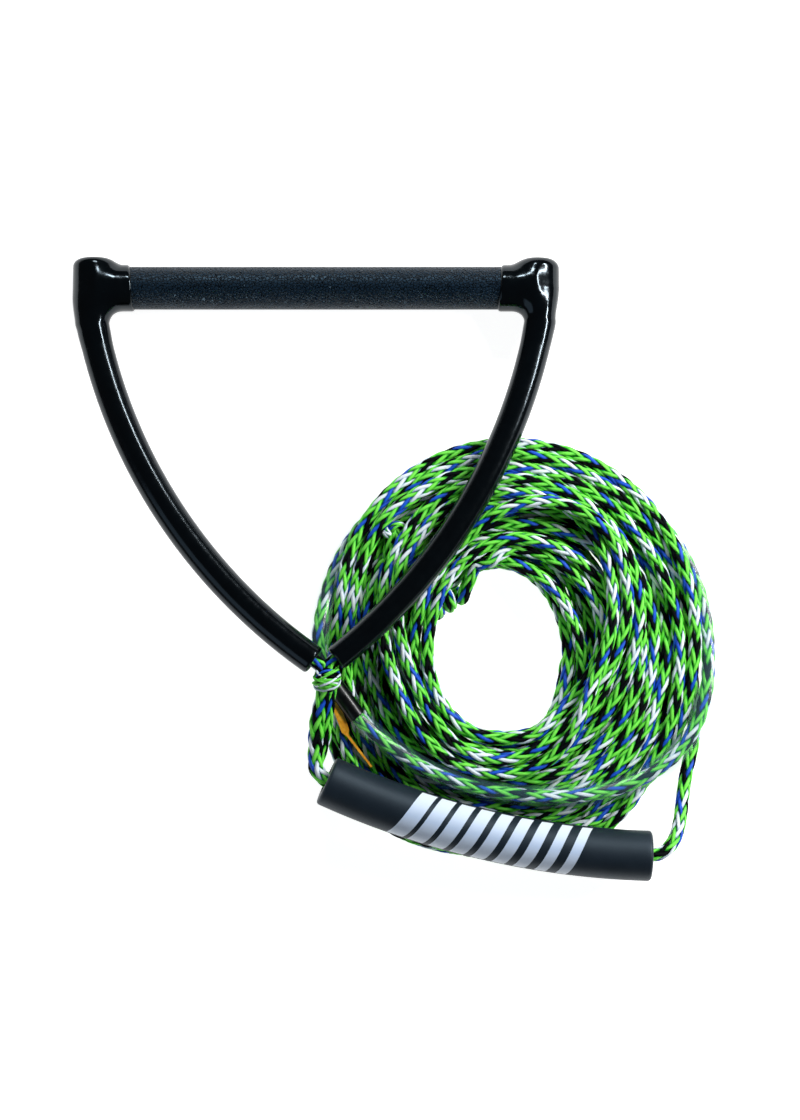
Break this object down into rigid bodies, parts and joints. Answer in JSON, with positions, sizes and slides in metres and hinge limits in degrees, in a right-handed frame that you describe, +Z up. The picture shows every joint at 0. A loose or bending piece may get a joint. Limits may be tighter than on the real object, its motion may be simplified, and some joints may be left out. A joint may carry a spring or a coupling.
{
  "type": "tow rope handle",
  "caption": "Water-sports tow rope handle: padded bar with two curved arms, knotted braided rope, foam float and wound coil.",
  "frame": {"origin": "middle of the handle's footprint (bar, corners and arms), on the surface it lies on", "axes": "+X along the bar, from the free side towards the coil's side; +Y from the arms' tips towards the bar; +Z up"},
  "size_m": [0.4389, 0.4214, 0.0655],
  "materials": {
    "tube_aluminium": "satin",
    "grip_rubber": "matte, pebbled",
    "bush_nylon": "matte",
    "arm_coating": "gloss",
    "dipped_vinyl": "gloss, dipped",
    "braided_rope": "braided polyethylene in green, white, black and blue",
    "amber_plastic": "gloss",
    "clear_hose": "clear, gloss",
    "coupling_rubber": "satin",
    "float_foam": "satin closed-cell foam with a silver print"
  },
  "bodies": {
    "rope": {"bridle_knot": "braided_rope", "lead_splice": "braided_rope", "lead_rope": "braided_rope", "rope_coil": "braided_rope", "coil_tie": "braided_rope", "tail_knot": "braided_rope", "tag_strap": "amber_plastic", "hoop_hose": "clear_hose", "hoop_rope": "braided_rope", "hoop_coupling": "coupling_rubber"},
    "handle": {"bar_tube": "tube_aluminium", "grip_sleeve": "grip_rubber", "bridle_rope": "braided_rope", "left_tube_bush": "bush_nylon", "right_tube_bush": "bush_nylon", "left_arm": "arm_coating", "right_arm": "arm_coating", "left_tip_ferrule": "bush_nylon", "right_tip_ferrule": "bush_nylon", "left_corner_cover": "dipped_vinyl", "right_corner_cover": "dipped_vinyl"},
    "float": {"float_body": "float_foam", "float_liner": "bush_nylon"}
  },
  "joints": [
    {"name": "handle_lift", "type": "hinge", "parent": "rope", "child": "handle", "pos_m": [0.0086, -0.145, 0.0553], "axis": [1, 0, 0], "range_deg": [0, 95]},
    {"name": "float_slide", "type": "hinge", "parent": "rope", "child": "float", "pos_m": [0.24398, 0.3001, 0.036], "axis": [0.0432, -0.0102, 0.999], "range_deg": [-0.35, 0.6]}
  ]
}
